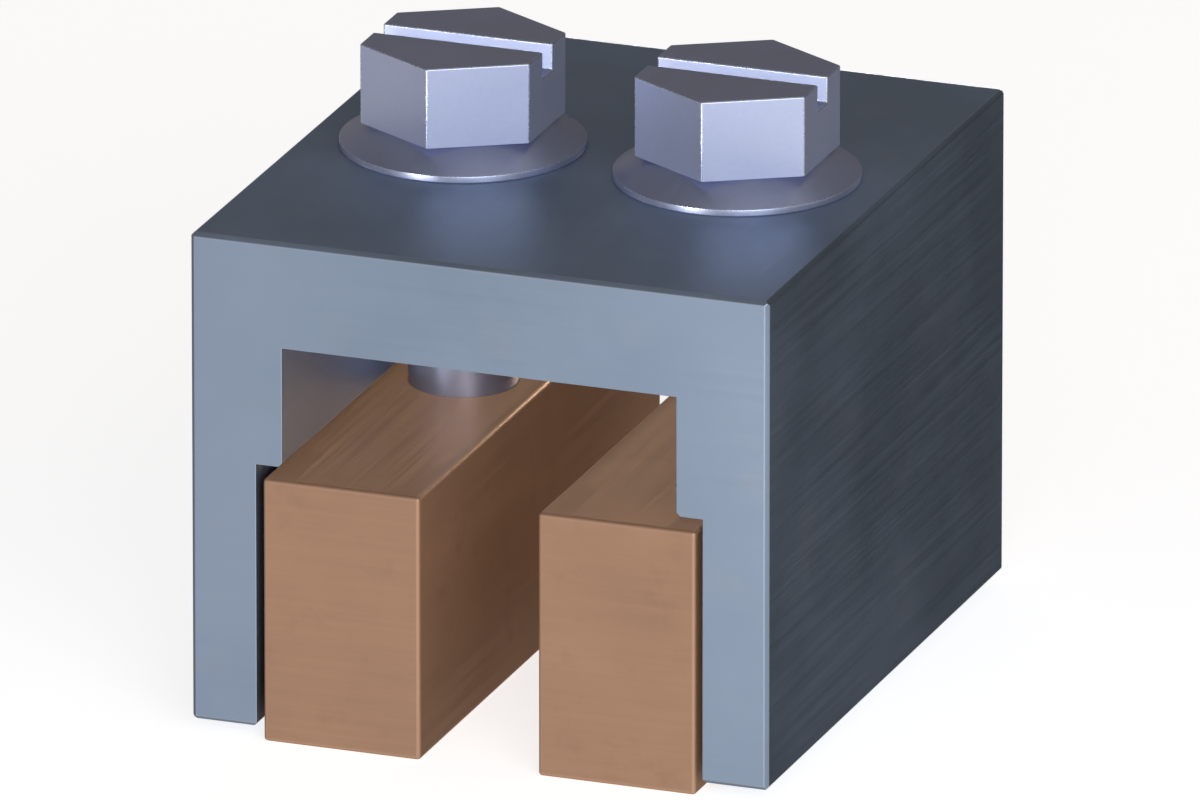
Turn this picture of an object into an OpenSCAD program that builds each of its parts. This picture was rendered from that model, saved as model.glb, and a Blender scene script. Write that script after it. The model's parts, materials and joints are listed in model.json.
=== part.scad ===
// Busbar terminal: a steel channel body that holds two copper jaws, each drawn up by a slotted flange screw.
// The head of a T or I section busbar runs through the channel under the roof, with its web between the jaws.
// Millimetres. +X is across the busbar, +Y along it and +Z up. The origin is under the middle of the terminal,
// on the plane that it stands on.

/* [Clamp body] */
// Length of the body and the jaws along the busbar
body_l = 50; // [32:1:100]
// Thickness of the roof that the screws pass through
roof_t = 8; // [5:0.5:14]
// Height of the channel under the roof, down to the ledges
channel_h = 9; // [6:0.5:16]
// Height of the legs below the ledges
leg_h = 20; // [14:0.5:30]
// Thickness of each leg beside its jaw
leg_t = 5; // [3:0.5:8]
// Gap between each screw's shank and the side of the channel
shank_gap = 0.5; // [0.45:0.05:1]
// Gap all round a screw in its clearance hole
hole_gap = 0.2; // [0.1:0.05:0.4]
// Easing cut along the outer edges of the body
body_edge = 0.3; // [0.1:0.05:0.6]

/* [Jaws] */
// Width of each jaw across the busbar
jaw_w = 12; // [11:0.5:18]
// Height of each jaw
jaw_h = 20; // [14:0.5:30]
// Gap between the two jaws, where the web of the busbar runs
web_gap = 9; // [8:0.5:20]
// Gap between each jaw and its leg
jaw_side_gap = 0.5; // [0.3:0.05:1]
// How far the jaws stand below the ledges as the terminal is delivered
jaw_drop = 1; // [0.5:0.25:4]
// Easing cut along the edges of the jaws
jaw_edge = 0.3; // [0.1:0.05:0.6]
// Running clearance all round the thread in its jaw
thread_gap = 0.05; // [0.02:0.01:0.09]
// Depth of the countersink under each jaw's threaded hole
sink_depth = 0.6; // [0.3:0.1:1.2]

/* [Screws] */
// Diameter of the thread and the shank
thread_d = 8; // [6:0.5:9]
// How far the tip of each screw stays inside the underside of its jaw
tip_inset = 3; // [1:0.5:6]
// Length of the chamfer on the tip
tip_edge = 1; // [0.5:0.1:1.5]
// Diameter of the flange
flange_d = 17.9; // [16.5:0.1:18.9]
// Height of the flange's upright rim
rim_h = 0.5; // [0.3:0.1:1]
// Height of the flange at the foot of the hexagon
flange_h = 2; // [1.5:0.1:3]
// How far the top circle of the flange's cone lies inside the flats of the hexagon
foot_inset = 0.1; // [0.05:0.05:0.3]
// Height of the whole head above the roof
head_h = 8; // [6:0.5:10]
// Width of the hexagon across its flats
hex_af = 13; // [10:0.5:13.5]
// Width of the driver slot
slot_w = 2; // [1:0.1:2.5]
// Depth of the driver slot
slot_depth = 2; // [1:0.1:2.5]

/* [Hidden] */
$fn = 96;

// Across the busbar: the jaws set the slot between the legs, and the screws set the channel above it
screw_x = (web_gap + jaw_w) / 2;
jaws_slot_w = web_gap + 2 * (jaw_w + jaw_side_gap);
channel_w = 2 * (screw_x + thread_d / 2 + shank_gap);
body_w = jaws_slot_w + 2 * leg_t;

// Heights: whatever reaches lowest, legs or jaws, stands at zero
ledge_z = max(leg_h, jaw_drop + jaw_h);
foot_z = ledge_z - leg_h;
jaw_z = ledge_z - jaw_drop - jaw_h;
ceiling_z = ledge_z + channel_h;
roof_z = ceiling_z + roof_t;
screw_l = roof_z - jaw_z - tip_inset;

cone_top_d = hex_af - 2 * foot_inset;
clearance_d = thread_d + 2 * hole_gap;
threaded_hole_d = thread_d + 2 * thread_gap;

// How far a cutting tool runs past the face that it cuts
overrun = 1;
// How far the turned part of a screw runs up inside its hexagon
core_rise = 0.3;

// Rectangle from low to high with its corners cut off at 45 degrees
module eased_rect(low, high, edge) {
    polygon([
        [low.x + edge, low.y], [high.x - edge, low.y], [high.x, low.y + edge], [high.x, high.y - edge],
        [high.x - edge, high.y], [low.x + edge, high.y], [low.x, high.y - edge], [low.x, low.y + edge]
    ]);
}

// Extrudes a section drawn in X and Z along Y, over the length of the body
module along_busbar() {
    rotate([90, 0, 0])
        linear_extrude(body_l, center = true) children();
}

// Extrudes a side view drawn in Y and Z along X, over a width centred on x = 0
module across_busbar(width) {
    rotate([90, 0, 90])
        linear_extrude(width, center = true) children();
}

// What is left of a bar of the body's length once its end faces have all their edges eased
module eased_ends(width, low_z, high_z, edge) {
    intersection() {
        translate([0, 0, low_z])
            linear_extrude(high_z - low_z) eased_rect([-width / 2, -body_l / 2], [width / 2, body_l / 2], edge);
        across_busbar(width) eased_rect([-body_l / 2, low_z], [body_l / 2, high_z], edge);
    }
}

// Section of the body: one half's corners from the roof down the leg and up to the ceiling, then the other half's
module body_section() {
    right = [
        [body_w / 2 - body_edge, roof_z], [body_w / 2, roof_z - body_edge],
        [body_w / 2, foot_z + body_edge], [body_w / 2 - body_edge, foot_z],
        [jaws_slot_w / 2 + body_edge, foot_z], [jaws_slot_w / 2, foot_z + body_edge],
        [jaws_slot_w / 2, ledge_z], [channel_w / 2 + body_edge, ledge_z],
        [channel_w / 2, ledge_z + body_edge], [channel_w / 2, ceiling_z]
    ];
    left = [for (i = [len(right) - 1 : -1 : 0]) [-right[i].x, right[i].y]];
    polygon(concat(right, left));
}

// Clearance hole through the roof, with its upper edge eased under the screw's flange
module clearance_hole() {
    translate([0, 0, ceiling_z - overrun])
        cylinder(d = clearance_d, h = roof_t + 2 * overrun);
    translate([0, 0, roof_z - body_edge])
        cylinder(d1 = clearance_d, d2 = clearance_d + 2 * (body_edge + overrun), h = body_edge + overrun);
}

// Channel body: roof, two legs and the ledges that stop the jaws, all one piece
module clamp_body() {
    color("#8b9bb2")
        difference() {
            intersection() {
                along_busbar() body_section();
                eased_ends(body_w, foot_z, roof_z, body_edge);
            }
            for (side = [-1, 1])
                translate([side * screw_x, 0, 0]) clearance_hole();
        }
}

// Jaw around the screw axis: a bar with a threaded hole right through, countersunk below
module jaw() {
    difference() {
        intersection() {
            along_busbar() eased_rect([-jaw_w / 2, jaw_z], [jaw_w / 2, jaw_z + jaw_h], jaw_edge);
            eased_ends(jaw_w, jaw_z, jaw_z + jaw_h, jaw_edge);
        }
        translate([0, 0, jaw_z - overrun])
            cylinder(d = threaded_hole_d, h = jaw_h + 2 * overrun);
        translate([0, 0, jaw_z - overrun])
            cylinder(d1 = threaded_hole_d + 2 * (sink_depth + overrun), d2 = threaded_hole_d, h = sink_depth + overrun);
    }
}

// Hexagonal prism with corners towards +Y and -Y
module hexagon(flats, height) {
    rotate([0, 0, 30])
        cylinder(d = flats / cos(30), h = height, $fn = 6);
}

// Everything round about the screw's axis, from its bearing face at zero: the shank with its chamfered tip below,
// the flange's rim and cone above, and a core that runs up into the hexagon
module turned_screw() {
    rotate_extrude()
        polygon([
            [0, -screw_l], [thread_d / 2 - tip_edge, -screw_l], [thread_d / 2, tip_edge - screw_l],
            [thread_d / 2, 0], [flange_d / 2, 0], [flange_d / 2, rim_h],
            [cone_top_d / 2, flange_h], [cone_top_d / 2, flange_h + core_rise], [0, flange_h + core_rise]
        ]);
}

// Hexagon that stands on the flange, with its driver slot across the flats that face the sides
module slotted_hexagon() {
    difference() {
        translate([0, 0, flange_h]) hexagon(hex_af, head_h - flange_h);
        translate([-flange_d / 2, -slot_w / 2, head_h - slot_depth])
            cube([flange_d, slot_w, slot_depth + overrun]);
    }
}

// Slotted flange screw, head and shank in one piece
module screw() {
    color("#97a1bf")
        translate([0, 0, roof_z]) {
            turned_screw();
            slotted_hexagon();
        }
}

module screw_left() {
    translate([-screw_x, 0, 0]) screw();
}

module screw_right() {
    translate([screw_x, 0, 0]) screw();
}

module jaw_left() {
    color("#a8795c")
        translate([-screw_x, 0, 0]) jaw();
}

module jaw_right() {
    color("#a8795c")
        translate([screw_x, 0, 0]) jaw();
}

clamp_body();
screw_left();
screw_right();
jaw_left();
jaw_right();
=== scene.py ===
import json
import math

import bmesh
import bpy
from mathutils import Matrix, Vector

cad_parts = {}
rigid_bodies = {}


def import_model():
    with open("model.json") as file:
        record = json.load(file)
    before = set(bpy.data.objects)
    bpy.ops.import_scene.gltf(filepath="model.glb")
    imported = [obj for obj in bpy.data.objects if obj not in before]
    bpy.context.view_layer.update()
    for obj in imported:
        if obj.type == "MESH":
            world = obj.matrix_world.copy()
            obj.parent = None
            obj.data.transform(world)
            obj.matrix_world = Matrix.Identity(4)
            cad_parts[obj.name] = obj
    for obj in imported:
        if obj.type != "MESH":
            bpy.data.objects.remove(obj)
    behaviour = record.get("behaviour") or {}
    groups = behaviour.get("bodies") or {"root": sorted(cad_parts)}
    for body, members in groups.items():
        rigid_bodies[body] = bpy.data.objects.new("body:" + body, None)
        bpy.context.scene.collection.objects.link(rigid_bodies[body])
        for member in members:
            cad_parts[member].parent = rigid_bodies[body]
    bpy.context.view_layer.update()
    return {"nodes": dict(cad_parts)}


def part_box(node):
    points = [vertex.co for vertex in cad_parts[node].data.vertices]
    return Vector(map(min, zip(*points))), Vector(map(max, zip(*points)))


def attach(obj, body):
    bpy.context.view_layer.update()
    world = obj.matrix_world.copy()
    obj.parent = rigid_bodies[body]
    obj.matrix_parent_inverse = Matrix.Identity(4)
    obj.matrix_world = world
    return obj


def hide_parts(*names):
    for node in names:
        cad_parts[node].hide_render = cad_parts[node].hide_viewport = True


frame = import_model()

# Dresses the busbar terminal: a zinc-plated steel body and flange screws, around two bare copper jaws.
# Lengths are in metres, in the frame of the solids: +X across the busbar, +Y along it and +Z up.

MM = 0.001

# Where the pieces lie, taken from the frame
ROOF_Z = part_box("clamp_body")[1].z
JAW_TOP_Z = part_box("jaw_left")[1].z
SCREW_LOW, SCREW_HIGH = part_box("screw_left")
SCREW_X = (SCREW_LOW.x + SCREW_HIGH.x) / 2
TIP_Z = SCREW_LOW.z
HEAD_TOP_Z = SCREW_HIGH.z
FLANGE_RADIUS = (SCREW_HIGH.x - SCREW_LOW.x) / 2

# Head of the flange screw: an upright rim, and a cone that ends where the hexagon stands on it
RIM_TOP_Z = ROOF_Z + 0.5 * MM
HEX_FOOT_Z = ROOF_Z + 2.0 * MM
HEX_ACROSS_FLATS = 13.0 * MM
CONE_INSET = 0.1 * MM
CONE_TOP_RADIUS = HEX_ACROSS_FLATS / 2 - CONE_INSET
DRIVER_SLOT_WIDTH = 2.0 * MM
DRIVER_SLOT_DEPTH = 2.0 * MM

# Shank and tip of the screw
SHANK_RADIUS = 3.98 * MM
TIP_RADIUS = 3.1 * MM
TIP_CHAMFER = 0.9 * MM

# Thread of the screw, and of the hole in its jaw, which is the same thread a little larger
PITCH = 1.25 * MM
CREST_RADIUS = 3.96 * MM
ROOT_RADIUS = 3.22 * MM
THREAD_CLEARANCE = 0.06 * MM
# One pitch of the thread: where each corner lies on it, and how far the groove is cut there
THREAD_CORNERS = ((0.0, 0.0), (0.12, 0.0), (0.42, 0.94), (0.56, 1.0), (0.70, 0.94))
# The screw's thread ends just inside the jaw, whose hole is plain over its last stretch
SCREW_THREAD_TOP_Z = JAW_TOP_Z - 0.7 * MM
JAW_THREAD_TOP_Z = JAW_TOP_Z - 2.1 * MM
# Heights over which a thread's groove fades out, and over which its crest widens into the shank
RUN_OUT = 0.35 * MM
SHANK_RUN_UP = 0.2 * MM
COUNTERSINK_DEPTH = 0.6 * MM
# How far the tool that cuts the jaw's hole goes past its ends
OVERRUN = 1 * MM

# Rounding of the edges
BODY_ROUNDING = 0.07 * MM
JAW_ROUNDING = 0.3 * MM
HEX_ROUNDING = 0.12 * MM
RIM_ROUNDING = 0.08 * MM
# Share of the flange's radius beyond which the top of its rim is worn
WORN_RIM_FROM = 0.98

# Points round a screw: a multiple of six keeps the corners of the hexagon
AROUND = 96
ANGLES = [math.tau * i / AROUND for i in range(AROUND)]

# Points closer than this become one, in the meshes made here and in a solid's mesh
SAME_POINT = 1e-7
SAME_POINT_OF_SOLID = 5e-7
# Faces that turn by less than this are one flat face
FLAT_ANGLE = math.radians(0.5)
# Edges that turn by less than this look smooth, with full weight on the larger faces, which then look flat
SMOOTH_ANGLE = math.radians(35)
LARGE_FACE_WEIGHT = 100


# Meshes

def new_mesh_object(name, bm):
    mesh = bpy.data.meshes.new(name)
    bm.to_mesh(mesh)
    bm.free()
    obj = bpy.data.objects.new(name, mesh)
    bpy.context.scene.collection.objects.link(obj)
    return obj


def block(low, high):
    """A box from corner to corner as a bmesh."""
    bm = bmesh.new()
    bmesh.ops.create_cube(bm, size=1.0)
    middle = (low + high) / 2
    size = high - low
    for vert in bm.verts:
        vert.co = middle + vert.co * size
    return bm


def solid_copy(node):
    """The solid of a node as a bmesh of whole flat faces, ready for its edges to be rounded."""
    bm = bmesh.new()
    bm.from_mesh(frame["nodes"][node].data)
    bmesh.ops.remove_doubles(bm, verts=bm.verts, dist=SAME_POINT_OF_SOLID)
    bmesh.ops.dissolve_limit(bm, angle_limit=FLAT_ANGLE, verts=bm.verts, edges=bm.edges)
    return bm


def cut(obj, cutter):
    """Subtracts a closed cutter from an object and deletes the cutter."""
    boolean = obj.modifiers.new("cut", "BOOLEAN")
    boolean.operation = "DIFFERENCE"
    boolean.solver = "EXACT"
    boolean.object = cutter
    graph = bpy.context.evaluated_depsgraph_get()
    mesh = bpy.data.meshes.new_from_object(obj.evaluated_get(graph))
    obj.modifiers.remove(boolean)
    obj.data = mesh
    bpy.data.objects.remove(cutter)


def wear_layer(bm):
    """Where the faces' wear is kept: 1 on the worn ones, which the finishes make brighter."""
    return bm.faces.layers.float.get("edge_wear") or bm.faces.layers.float.new("edge_wear")


def round_edges(bm, width, segments, sharper_than, chosen=lambda edge: True):
    """Rounds the chosen edges that turn by more than an angle in degrees, and marks the new faces as worn."""
    worn = wear_layer(bm)
    limit = math.radians(sharper_than)
    edges = [
        edge for edge in bm.edges
        if edge.is_manifold and edge.calc_face_angle(0) > limit and chosen(edge)
    ]
    made = bmesh.ops.bevel(
        bm, geom=edges, offset=width, offset_type="OFFSET", segments=segments, profile=0.5, affect="EDGES",
        clamp_overlap=True,
    )
    for face in made["faces"]:
        face[worn] = 1.0


def mark_worn(bm, chosen):
    """Marks faces as worn by where their middles are."""
    worn = wear_layer(bm)
    for face in bm.faces:
        if chosen(face.calc_center_median()):
            face[worn] = 1.0


def shade(obj):
    """Smooth over the rounded edges while the flat faces stay flat."""
    for polygon in obj.data.polygons:
        polygon.use_smooth = True
    obj.data.set_sharp_from_angle(angle=SMOOTH_ANGLE)
    weighted = obj.modifiers.new("flat_faces", "WEIGHTED_NORMAL")
    weighted.keep_sharp = True
    weighted.weight = LARGE_FACE_WEIGHT


# Finishes

# The surface of a finish where it isn't metallic
SURFACE_IOR = 1.5
# Sockets of a Mix node, which has some of its own for each kind of value
MIX_COLOUR_INPUTS = (6, 7)
MIX_COLOUR_OUTPUT = 2
MIX_VALUE_INPUTS = (2, 3)
MIX_VALUE_OUTPUT = 0
# Features per metre along X, Y and Z: lines drawn along the bar, and saw marks across its ends
DRAWN_LINES = (2600, 45, 2600)
SAW_MARKS = (60, 900, 2400)
# Grain in features per metre, its share of the relief, and the depth that full strength gives
GRAIN_SCALE = 5200
GRAIN_SHARE = 0.35
RELIEF_DEPTH = 0.02 * MM


class Finish:
    """A metal finish: its node tree, with short calls for what every finish here is made of."""

    def __init__(self, name, metallic):
        self.material = bpy.data.materials.new(name)
        self.material.use_nodes = True
        self.tree = self.material.node_tree
        self.nodes = self.tree.nodes
        self.shader = self.nodes["Principled BSDF"]
        self.shader.inputs["Metallic"].default_value = metallic
        self.shader.inputs["IOR"].default_value = SURFACE_IOR
        self.place = self.nodes.new("ShaderNodeTexCoord")

    def join(self, source, target):
        self.tree.links.new(source, target)

    def noise(self, scale, detail, roughness=0.5, stretch=(1, 1, 1)):
        """Noise over the piece, with scale in features per metre, drawn out where stretch is small."""
        mapping = self.nodes.new("ShaderNodeMapping")
        mapping.inputs["Scale"].default_value = stretch
        texture = self.nodes.new("ShaderNodeTexNoise")
        texture.inputs["Scale"].default_value = scale
        texture.inputs["Detail"].default_value = detail
        texture.inputs["Roughness"].default_value = roughness
        self.join(self.place.outputs["Object"], mapping.inputs["Vector"])
        self.join(mapping.outputs["Vector"], texture.inputs["Vector"])
        return texture.outputs["Fac"]

    def spread(self, value, low, high, to_low=0.0, to_high=1.0):
        """Maps the stretch from low to high of a value onto another one."""
        node = self.nodes.new("ShaderNodeMapRange")
        for name, number in (("From Min", low), ("From Max", high), ("To Min", to_low), ("To Max", to_high)):
            node.inputs[name].default_value = number
        self.join(value, node.inputs["Value"])
        return node.outputs["Result"]

    def calculate(self, operation, first, second=None):
        """One step of arithmetic on one or two values, each a socket or a number."""
        node = self.nodes.new("ShaderNodeMath")
        node.operation = operation
        for socket, value in zip(node.inputs, (first, second)):
            if isinstance(value, (int, float)):
                socket.default_value = value
            elif value is not None:
                self.join(value, socket)
        return node.outputs["Value"]

    def mix(self, amount, first, second):
        """Mixes two colours, each a socket or three numbers."""
        node = self.nodes.new("ShaderNodeMix")
        node.data_type = "RGBA"
        self.join(amount, node.inputs["Factor"])
        for number, value in zip(MIX_COLOUR_INPUTS, (first, second)):
            if isinstance(value, tuple):
                node.inputs[number].default_value = (*value, 1.0)
            else:
                self.join(value, node.inputs[number])
        return node.outputs[MIX_COLOUR_OUTPUT]

    def choose(self, amount, first, second):
        """Mixes two values, each a socket."""
        node = self.nodes.new("ShaderNodeMix")
        node.data_type = "FLOAT"
        self.join(amount, node.inputs["Factor"])
        for number, value in zip(MIX_VALUE_INPUTS, (first, second)):
            self.join(value, node.inputs[number])
        return node.outputs[MIX_VALUE_OUTPUT]

    def worn(self, amount):
        """An amount on the worn edges, and 0 elsewhere."""
        attribute = self.nodes.new("ShaderNodeAttribute")
        attribute.attribute_name = "edge_wear"
        return self.calculate("MULTIPLY", attribute.outputs["Fac"], amount)

    def facing(self, axis):
        """1 on the faces that look along an axis, either way, and 0 on the others."""
        axes = self.nodes.new("ShaderNodeSeparateXYZ")
        self.join(self.place.outputs["Normal"], axes.inputs["Vector"])
        return self.spread(self.calculate("ABSOLUTE", axes.outputs[axis]), low=0.6, high=0.8)

    def machining(self, ends=True):
        """Fine lines: along Y on the long faces, and across the ends where the bar was cut off."""
        drawn = self.noise(scale=1.0, detail=4.0, roughness=0.65, stretch=DRAWN_LINES)
        if not ends:
            return drawn
        sawn = self.noise(scale=1.0, detail=4.0, roughness=0.6, stretch=SAW_MARKS)
        return self.choose(self.facing("Y"), drawn, sawn)

    def relief(self, lines, strength):
        """Presses the lines and a fine grain into the surface."""
        grain = self.noise(scale=GRAIN_SCALE, detail=2.0)
        height = self.calculate("ADD", lines, self.calculate("MULTIPLY", grain, GRAIN_SHARE))
        bump = self.nodes.new("ShaderNodeBump")
        bump.inputs["Strength"].default_value = strength
        bump.inputs["Distance"].default_value = RELIEF_DEPTH
        self.join(height, bump.inputs["Height"])
        self.join(bump.outputs["Normal"], self.shader.inputs["Normal"])

    def paint(self, colour, roughness):
        self.join(colour, self.shader.inputs["Base Color"])
        self.join(roughness, self.shader.inputs["Roughness"])


def zinc(name, dark, light, tarnish, bright, roughness, metallic, duller_top, ends=True):
    """Blue-passivated zinc plating over machined steel: cloudy, finely lined and polished on worn edges."""
    finish = Finish(name, metallic)
    clouds = finish.spread(finish.noise(scale=70, detail=4.0), low=0.35, high=0.65)
    bloom_noise = finish.noise(scale=160, detail=5.0, roughness=0.6)
    bloom = finish.spread(bloom_noise, low=0.55, high=0.8, to_high=0.45)
    lines = finish.machining(ends)
    colour = finish.mix(clouds, dark, light)
    colour = finish.mix(bloom, colour, tarnish)
    colour = finish.mix(finish.spread(lines, low=0.3, high=0.75, to_high=0.14), colour, bright)
    colour = finish.mix(finish.worn(0.5), colour, bright)
    rough = finish.spread(lines, low=0.25, high=0.75, to_low=roughness - 0.05, to_high=roughness + 0.07)
    cloudy = finish.spread(clouds, low=0.0, high=1.0, to_low=-0.03, to_high=0.03)
    rough = finish.calculate("ADD", rough, cloudy)
    rough = finish.calculate("SUBTRACT", rough, finish.worn(0.08))
    rough = finish.calculate("ADD", rough, finish.calculate("MULTIPLY", finish.facing("Z"), duller_top))
    finish.paint(colour, rough)
    finish.relief(lines, strength=0.18)
    return finish.material


def copper(name):
    """Drawn copper bar, sawn off at its ends: dull and brown with oxide, brighter along lines and edges."""
    fresh = (0.55, 0.33, 0.215)
    brown = (0.45, 0.265, 0.17)
    dull = (0.40, 0.235, 0.15)
    oxide = (0.28, 0.16, 0.10)
    finish = Finish(name, metallic=0.6)
    clouds = finish.spread(finish.noise(scale=90, detail=4.0), low=0.35, high=0.65)
    stain_noise = finish.noise(scale=240, detail=5.0, roughness=0.65)
    stains = finish.spread(stain_noise, low=0.55, high=0.78, to_high=0.5)
    lines = finish.machining()
    colour = finish.mix(clouds, dull, brown)
    colour = finish.mix(stains, colour, oxide)
    colour = finish.mix(finish.spread(lines, low=0.35, high=0.8, to_high=0.35), colour, fresh)
    colour = finish.mix(finish.worn(0.55), colour, fresh)
    rough = finish.spread(lines, low=0.25, high=0.75, to_low=0.36, to_high=0.48)
    rough = finish.calculate("ADD", rough, finish.spread(stains, low=0.0, high=0.5, to_high=0.06))
    finish.paint(colour, rough)
    finish.relief(lines, strength=0.3)
    return finish.material


# Rings and threads

def point(bm, angle, radius, z):
    return bm.verts.new((radius * math.cos(angle), radius * math.sin(angle), z))


def circle(bm, z, radius):
    """A ring of points round the origin at one height."""
    return [point(bm, angle, radius, z) for angle in ANGLES]


def hexagon(bm, z, across_flats):
    """A ring of points on a hexagon, with flats towards +X and -X and corners towards +Y and -Y."""
    sector = math.radians(60)
    points = []
    for angle in ANGLES:
        from_flat = (angle + sector / 2) % sector - sector / 2
        points.append(point(bm, angle, across_flats / 2 / math.cos(from_flat), z))
    return points


def bridge(bm, below, above):
    """Joins two rings with faces that look outwards when above is the upper one."""
    count = len(below)
    for i in range(count):
        j = (i + 1) % count
        bm.faces.new((below[i], below[j], above[j], above[i]))


def tip_radius_at(z):
    """Radius of the chamfer on a screw's tip, which goes on past the crest of the thread."""
    return TIP_RADIUS + (CREST_RADIUS - TIP_RADIUS) * (z - TIP_Z) / TIP_CHAMFER


def thread_rings(bm, low_z, high_z, larger=0.0, tip=False):
    """Rings that follow a right-hand thread between two heights.

    It runs out to the crest at both, or at its tip is cut off by the chamfer. Where the thread lies depends
    on the height alone, so that the screw's fits the one in its jaw.
    """
    # More turns than both heights need, as each one climbs by a pitch
    first_turn = math.floor(low_z / PITCH) - 2
    last_turn = math.ceil(high_z / PITCH) + 1
    rings = []
    for turn in range(first_turn, last_turn):
        for place, depth in THREAD_CORNERS:
            points = []
            for i, angle in enumerate(ANGLES):
                z = PITCH * (turn + place + i / AROUND)
                z = min(max(z, low_z), high_z)
                full = min(1.0, (high_z - z) / RUN_OUT, 1.0 if tip else (z - low_z) / RUN_OUT)
                radius = CREST_RADIUS + larger - (CREST_RADIUS - ROOT_RADIUS) * depth * full
                if tip:
                    radius = min(radius, tip_radius_at(z))
                points.append(point(bm, angle, radius, z))
            rings.append(points)
    return rings


def threaded_bar(bm, stack_below, thread, stack_above):
    """A closed bar from rings below, a thread and rings above.

    The last point of a thread's ring meets the first one of the ring that lies a turn higher.
    """
    for below, above in zip(stack_below, stack_below[1:]):
        bridge(bm, below, above)
    for below, above in zip(thread, thread[1:]):
        for i in range(AROUND - 1):
            bm.faces.new((below[i], below[i + 1], above[i + 1], above[i]))
    per_turn = len(THREAD_CORNERS)
    for k in range(len(thread) - per_turn - 1):
        bm.faces.new((thread[k][-1], thread[k + per_turn][0], thread[k + per_turn + 1][0], thread[k + 1][-1]))
    for below, above in zip(stack_above, stack_above[1:]):
        bridge(bm, below, above)
    bm.faces.new(list(reversed(stack_below[0])))
    bm.faces.new(stack_above[-1])
    bmesh.ops.remove_doubles(bm, verts=bm.verts, dist=SAME_POINT)
    bmesh.ops.dissolve_degenerate(bm, edges=bm.edges, dist=SAME_POINT)
    bmesh.ops.recalc_face_normals(bm, faces=bm.faces)


# Pieces

def turned_screw(name):
    """The screw before its driver slot is cut: tip, thread, plain shank, flange and hexagon on the Z axis."""
    bm = bmesh.new()
    # The chamfer reaches the root of the thread at this height
    thread_low_z = TIP_Z + TIP_CHAMFER * (ROOT_RADIUS - TIP_RADIUS) / (CREST_RADIUS - TIP_RADIUS)
    below = [
        circle(bm, TIP_Z, TIP_RADIUS),
        circle(bm, thread_low_z, ROOT_RADIUS),
    ]
    thread = thread_rings(bm, thread_low_z, SCREW_THREAD_TOP_Z, tip=True)
    slope = Vector((CONE_TOP_RADIUS - FLANGE_RADIUS, HEX_FOOT_Z - RIM_TOP_Z)).normalized()
    above = [
        circle(bm, SCREW_THREAD_TOP_Z, CREST_RADIUS),
        circle(bm, SCREW_THREAD_TOP_Z + SHANK_RUN_UP, SHANK_RADIUS),
        circle(bm, ROOF_Z, SHANK_RADIUS),
        circle(bm, ROOF_Z, FLANGE_RADIUS - RIM_ROUNDING),
        circle(bm, ROOF_Z + RIM_ROUNDING, FLANGE_RADIUS),
        circle(bm, RIM_TOP_Z - RIM_ROUNDING, FLANGE_RADIUS),
        circle(bm, RIM_TOP_Z, FLANGE_RADIUS - RIM_ROUNDING / 5),
        circle(bm, RIM_TOP_Z + slope.y * RIM_ROUNDING, FLANGE_RADIUS + slope.x * RIM_ROUNDING),
        circle(bm, HEX_FOOT_Z, CONE_TOP_RADIUS),
        hexagon(bm, HEX_FOOT_Z, HEX_ACROSS_FLATS),
        hexagon(bm, HEAD_TOP_Z, HEX_ACROSS_FLATS),
    ]
    threaded_bar(bm, below, thread, above)
    return new_mesh_object(name, bm)


def finish_screw_edges(bm):
    """Rounds the hexagon and its driver slot down to the foot, and marks the flange's rim as worn."""
    above_foot = HEX_FOOT_Z + RIM_ROUNDING

    def in_head(face):
        return face.calc_center_median().z > above_foot

    def reaches_head(edge):
        return max(vert.co.z for vert in edge.verts) > above_foot

    def on_rim(middle):
        near_top = abs(middle.z - RIM_TOP_Z) < RIM_ROUNDING
        return near_top and middle.xy.length > FLANGE_RADIUS * WORN_RIM_FROM

    head_edges = [edge for edge in bm.edges if any(in_head(face) for face in edge.link_faces)]
    bmesh.ops.dissolve_limit(bm, angle_limit=FLAT_ANGLE, verts=[], edges=head_edges)
    round_edges(bm, HEX_ROUNDING, segments=3, sharper_than=25, chosen=reaches_head)
    mark_worn(bm, on_rim)


def build_screw(name, x):
    """Slotted flange screw, built on its own axis and then moved to x."""
    screw = turned_screw(name)
    slot_cutter = block(
        Vector((-FLANGE_RADIUS, -DRIVER_SLOT_WIDTH / 2, HEAD_TOP_Z - DRIVER_SLOT_DEPTH)),
        Vector((FLANGE_RADIUS, DRIVER_SLOT_WIDTH / 2, HEAD_TOP_Z + DRIVER_SLOT_DEPTH)),
    )
    cut(screw, new_mesh_object("slot_cutter", slot_cutter))
    bm = bmesh.new()
    bm.from_mesh(screw.data)
    finish_screw_edges(bm)
    bmesh.ops.translate(bm, verts=bm.verts, vec=(x, 0, 0))
    bm.to_mesh(screw.data)
    bm.free()
    return screw


def thread_cutter(low_z, high_z, hole_radius):
    """What the threaded hole of a jaw takes out of it: plain at the top, countersunk below."""
    bm = bmesh.new()
    sink_top = low_z + COUNTERSINK_DEPTH
    below = [
        circle(bm, low_z - OVERRUN, hole_radius + COUNTERSINK_DEPTH + OVERRUN),
        circle(bm, sink_top, hole_radius),
    ]
    thread = thread_rings(bm, sink_top, JAW_THREAD_TOP_Z, larger=THREAD_CLEARANCE)
    above = [
        circle(bm, JAW_THREAD_TOP_Z, hole_radius),
        circle(bm, high_z + OVERRUN, hole_radius),
    ]
    threaded_bar(bm, below, thread, above)
    return bm


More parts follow.
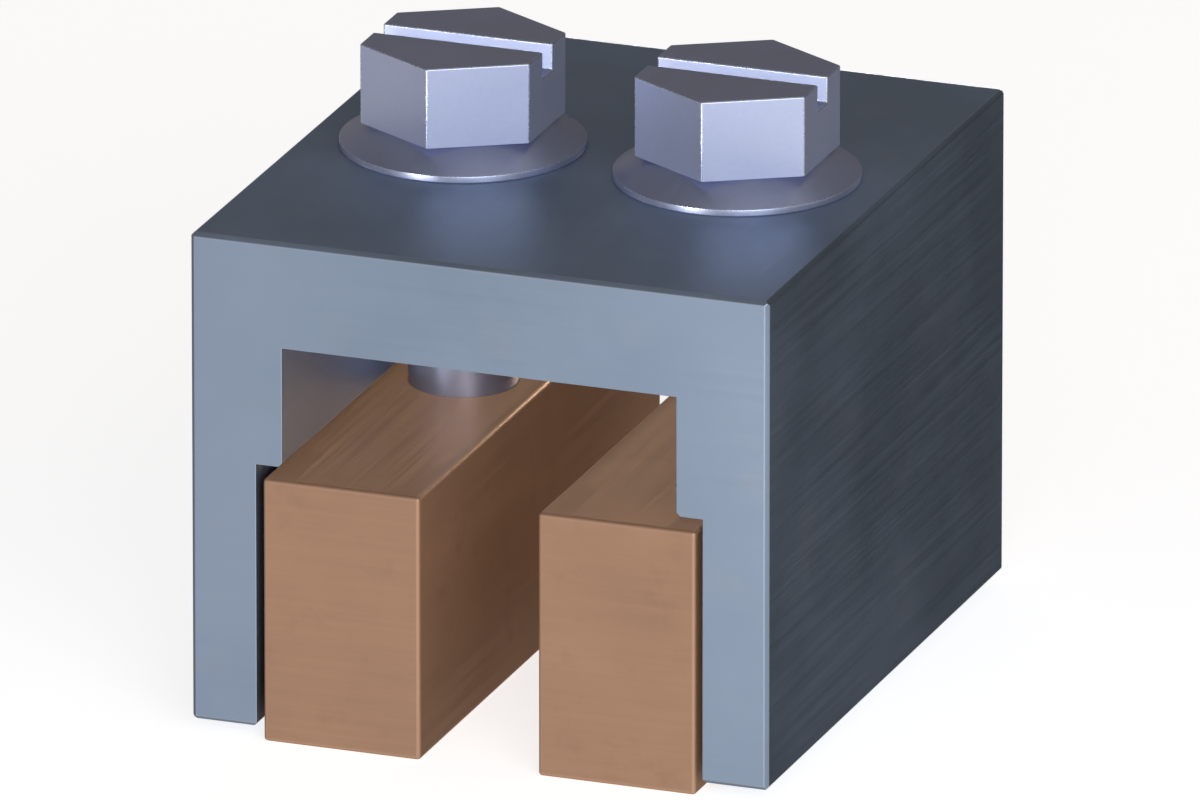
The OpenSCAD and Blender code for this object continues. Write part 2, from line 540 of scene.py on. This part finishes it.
def build_jaw(name, node, x):
    """Copper bar with a threaded hole at x."""
    low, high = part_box(node)
    jaw = new_mesh_object(name, block(low, high))
    hole_radius = CREST_RADIUS + THREAD_CLEARANCE
    cutter = thread_cutter(low.z, high.z, hole_radius)
    bmesh.ops.translate(cutter, verts=cutter.verts, vec=(x, 0, 0))
    cut(jaw, new_mesh_object("thread_cutter", cutter))

    def of_bar(edge):
        # The edges of the bar are longer than any edge of the hole
        return edge.calc_length() > 2.5 * hole_radius

    bm = bmesh.new()
    bm.from_mesh(jaw.data)
    round_edges(bm, JAW_ROUNDING, segments=3, sharper_than=60, chosen=of_bar)
    bm.to_mesh(jaw.data)
    bm.free()
    return jaw


def build_body():
    """The channel body with every edge rounded a little."""
    bm = solid_copy("clamp_body")
    round_edges(bm, BODY_ROUNDING, segments=2, sharper_than=20)
    return new_mesh_object("clamp_body_finished", bm)


def dress(piece, node, body, material):
    """Gives a piece its finish and puts it in the place of a solid."""
    piece.data.materials.clear()
    piece.data.materials.append(material)
    shade(piece)
    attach(piece, body)
    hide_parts(node)


PLATED_BODY = zinc(
    "zinc_plated_steel", dark=(0.27, 0.345, 0.46), light=(0.32, 0.40, 0.53), tarnish=(0.37, 0.41, 0.46),
    bright=(0.44, 0.52, 0.64), roughness=0.40, metallic=0.91, duller_top=0.15,
)
PLATED_SCREW = zinc(
    "zinc_plated_screw", dark=(0.41, 0.46, 0.65), light=(0.47, 0.52, 0.73), tarnish=(0.47, 0.50, 0.60),
    bright=(0.66, 0.72, 0.90), roughness=0.33, metallic=0.76, duller_top=0.0, ends=False,
)
BARE_COPPER = copper("bare_copper")

dress(build_body(), "clamp_body", "body", PLATED_BODY)
for side, x in (("left", SCREW_X), ("right", -SCREW_X)):
    screw = build_screw(f"flange_screw_{side}", x)
    dress(screw, f"screw_{side}", f"screw_{side}", PLATED_SCREW)
    jaw = build_jaw(f"copper_jaw_{side}", f"jaw_{side}", x)
    dress(jaw, f"jaw_{side}", f"jaw_{side}", BARE_COPPER)


# Studio

# How far the floor reaches each way, and how far below the jaws it lies, so that they don't share a plane
FLOOR_REACH = 6.0
FLOOR_DROP = 0.02 * MM
FLOOR_COLOUR = (0.88, 0.88, 0.88, 1.0)
FLOOR_GLOW = 0.73

# Each glow: where its middle is seen, and how bright it is from straight behind it (0) to its middle (1)
FRONT_GLOW = {
    "azimuth": 18,
    "elevation": -25,
    "shades": (
        (0.0, 0.13), (0.06, 0.10), (0.17, 0.028), (0.29, 0.032), (0.56, 0.29), (0.9, 0.79), (1.0, 0.93),
    ),
}
REAR_GLOW = {
    "azimuth": -120,
    "elevation": -25,
    "shades": ((0.0, 0.0), (0.7, 0.0), (0.85, 0.08), (1.0, 0.2)),
}
# The dim parts of a glow are a little warmer than its middle
DIM_TINT = (1.0, 0.89, 0.84)
BACKDROP = (0.9, 0.9, 0.9, 1.0)

# What the lights point at, in the middle of the terminal
LIGHT_TARGET = Vector((0, 0, 20 * MM))
# Faint lights reach the screws alone, also inside their driver slots, and lift the faces that look darkest.
# Each has the face that it lifts, the azimuth and elevation that it comes from, and its power.
SCREW_LIGHTS = (
    ("slot", -20, -3, 0.31),
    ("front", 40, -19, 0.018),
    ("right", 160, -19, 0.006),
    ("left", -80, -19, 0.010),
)

# The picture is a parallel projection seen from this direction, drawn at this many pixels to the millimetre
VIEW_AZIMUTH = 20.28
VIEW_ELEVATION = 19.45
PICTURE_WIDTH_PX = 1200
PIXELS_PER_MM = 13.883
# The point of the terminal's upright axis that is in the middle of the picture
VIEW_CENTRE = Vector((0, 0, 19.69 * MM))
# A very long lens stands in for the parallel projection, and sees as far as this many metres
LENS_MM = 1000
SENSOR_MM = 36
VIEW_REACH = 20


def direction(azimuth, elevation):
    """Unit vector towards something seen at this azimuth and elevation, in degrees."""
    turn = math.radians(azimuth)
    rise = math.radians(elevation)
    return Vector((math.sin(turn) * math.cos(rise), -math.cos(turn) * math.cos(rise), math.sin(rise)))


def aim(obj, target):
    """Turns a light or camera towards a point."""
    obj.rotation_euler = (target - obj.location).to_track_quat("-Z", "Y").to_euler()


def build_floor():
    """A pale floor that also glows."""
    bm = bmesh.new()
    bmesh.ops.create_grid(bm, x_segments=1, y_segments=1, size=FLOOR_REACH)
    floor = new_mesh_object("studio_floor", bm)
    floor.location.z = -FLOOR_DROP
    material = bpy.data.materials.new("studio_floor")
    material.use_nodes = True
    shader = material.node_tree.nodes["Principled BSDF"]
    shader.inputs["Base Color"].default_value = FLOOR_COLOUR
    shader.inputs["Roughness"].default_value = 0.9
    shader.inputs["Specular IOR Level"].default_value = 0.1
    shader.inputs["Emission Color"].default_value = (1.0, 1.0, 1.0, 1.0)
    shader.inputs["Emission Strength"].default_value = FLOOR_GLOW
    floor.data.materials.append(material)
    # The metal mirrors the studio round it, whose lower half is less bright than the lit floor
    floor.visible_glossy = False


def glow_colour(brightness):
    """Colour of a glow where it is this bright."""
    tint = [dim + (1.0 - dim) * min(1.0, brightness) for dim in DIM_TINT]
    return (*(brightness * channel for channel in tint), 1.0)


def glow_strength(nodes, links, azimuth, elevation, shades):
    """Colour and brightness of one glow in every direction."""
    place = nodes.new("ShaderNodeTexCoord")
    facing = nodes.new("ShaderNodeVectorMath")
    facing.operation = "DOT_PRODUCT"
    facing.inputs[1].default_value = direction(azimuth, elevation)
    half = nodes.new("ShaderNodeMapRange")
    half.inputs["From Min"].default_value = -1.0
    ramp_node = nodes.new("ShaderNodeValToRGB")
    # A new ramp has a stop at each end, and keeps its stops in order
    stops = ramp_node.color_ramp.elements
    for position, _ in shades[1:-1]:
        stops.new(position)
    for stop, (_, brightness) in zip(stops, shades):
        stop.color = glow_colour(brightness)
    links.new(place.outputs["Generated"], facing.inputs[0])
    links.new(facing.outputs["Value"], half.inputs["Value"])
    links.new(half.outputs["Result"], ramp_node.inputs["Fac"])
    return ramp_node.outputs["Color"]


def build_world():
    """A soft glow in front of the terminal and a fainter one behind it, with a pale backdrop in view."""
    world = bpy.data.worlds.new("studio")
    bpy.context.scene.world = world
    world.use_nodes = True
    nodes = world.node_tree.nodes
    links = world.node_tree.links
    glows = nodes.new("ShaderNodeVectorMath")
    glows.operation = "ADD"
    for socket, glow in zip(glows.inputs, (FRONT_GLOW, REAR_GLOW)):
        links.new(glow_strength(nodes, links, **glow), socket)
    light = nodes["Background"]
    links.new(glows.outputs["Vector"], light.inputs["Color"])
    backdrop = nodes.new("ShaderNodeBackground")
    backdrop.inputs["Color"].default_value = BACKDROP
    path = nodes.new("ShaderNodeLightPath")
    both = nodes.new("ShaderNodeMixShader")
    links.new(path.outputs["Is Camera Ray"], both.inputs["Fac"])
    links.new(light.outputs["Background"], both.inputs[1])
    links.new(backdrop.outputs["Background"], both.inputs[2])
    links.new(both.outputs["Shader"], nodes["World Output"].inputs["Surface"])


def area_light(name, azimuth, elevation, distance, size, power, colour=(1.0, 1.0, 1.0)):
    """A round light that shines on the middle of the terminal."""
    light = bpy.data.lights.new(name, "AREA")
    light.shape = "DISK"
    light.size = size
    light.energy = power
    light.color = colour
    lamp = bpy.data.objects.new(name, light)
    lamp.location = LIGHT_TARGET + direction(azimuth, elevation) * distance
    aim(lamp, LIGHT_TARGET)
    bpy.context.scene.collection.objects.link(lamp)
    return lamp


def collection_of(name, beginning):
    """A collection of the pieces whose names begin so, for a light to be linked to."""
    collection = bpy.data.collections.new(name)
    for piece in bpy.context.scene.objects:
        if piece.name.startswith(beginning):
            collection.objects.link(piece)
    return collection


def link_light(lamp, lit, shading=None):
    """Lets a light reach some pieces alone, with others alone shading it where they are given."""
    lamp.light_linking.receiver_collection = lit
    if shading:
        lamp.light_linking.blocker_collection = shading


def skip_mirrored_rays(lamp):
    """Leaves out the rays that the metal mirrors towards a light, which every piece would stop."""
    lamp.data.cycles.use_multiple_importance_sampling = False


def build_lights():
    """Two lights reach everything, and the others reach the jaws, the screws or the body alone."""
    area_light("key_light", azimuth=34, elevation=14, distance=0.4, size=0.3, power=0.5)
    area_light("overhead_light", azimuth=180, elevation=70, distance=1.6, size=1.1, power=1.4)

    # The roof over the jaws doesn't shade this one
    jaws = collection_of("jaws", "copper_jaw")
    jaw_fill = area_light(
        "jaw_fill_light", azimuth=165, elevation=28, distance=0.6, size=0.4, power=3.3,
        colour=(1.0, 0.90, 0.72),
    )
    link_light(jaw_fill, jaws, jaws)

    screws = collection_of("screws", "flange_screw")
    for face, azimuth, elevation, power in SCREW_LIGHTS:
        name = f"screw_{face}_light"
        screw_fill = area_light(name, azimuth, elevation, distance=0.4, size=0.1, power=power)
        link_light(screw_fill, screws, jaws)
        skip_mirrored_rays(screw_fill)

    # A small light close to the front, which makes the body's front grow brighter towards the right
    body = collection_of("body", "clamp_body")
    front = area_light("front_light", azimuth=2, elevation=-11, distance=0.125, size=0.04, power=0.004)
    link_light(front, body, jaws)
    skip_mirrored_rays(front)

    # A low strip behind the terminal, which stays below the plane of its roof
    strip = area_light("rear_strip_light", azimuth=190, elevation=0, distance=0.5, size=0.14, power=2.0)
    strip.data.shape = "RECTANGLE"
    strip.data.size_y = 0.03
    link_light(strip, body)


def build_camera():
    """A camera that sees the terminal as the picture does."""
    camera = bpy.data.cameras.new("camera")
    camera.lens = LENS_MM
    camera.sensor_width = SENSOR_MM
    camera.clip_end = VIEW_REACH
    frame_width = PICTURE_WIDTH_PX / PIXELS_PER_MM * MM
    distance = frame_width * LENS_MM / SENSOR_MM
    stand = bpy.data.objects.new("camera", camera)
    stand.location = VIEW_CENTRE + direction(VIEW_AZIMUTH, VIEW_ELEVATION) * distance
    aim(stand, VIEW_CENTRE)
    bpy.context.scene.collection.objects.link(stand)
    bpy.context.scene.camera = stand


build_floor()
build_world()
build_camera()
build_lights()
bpy.context.scene.view_settings.view_transform = "Standard"
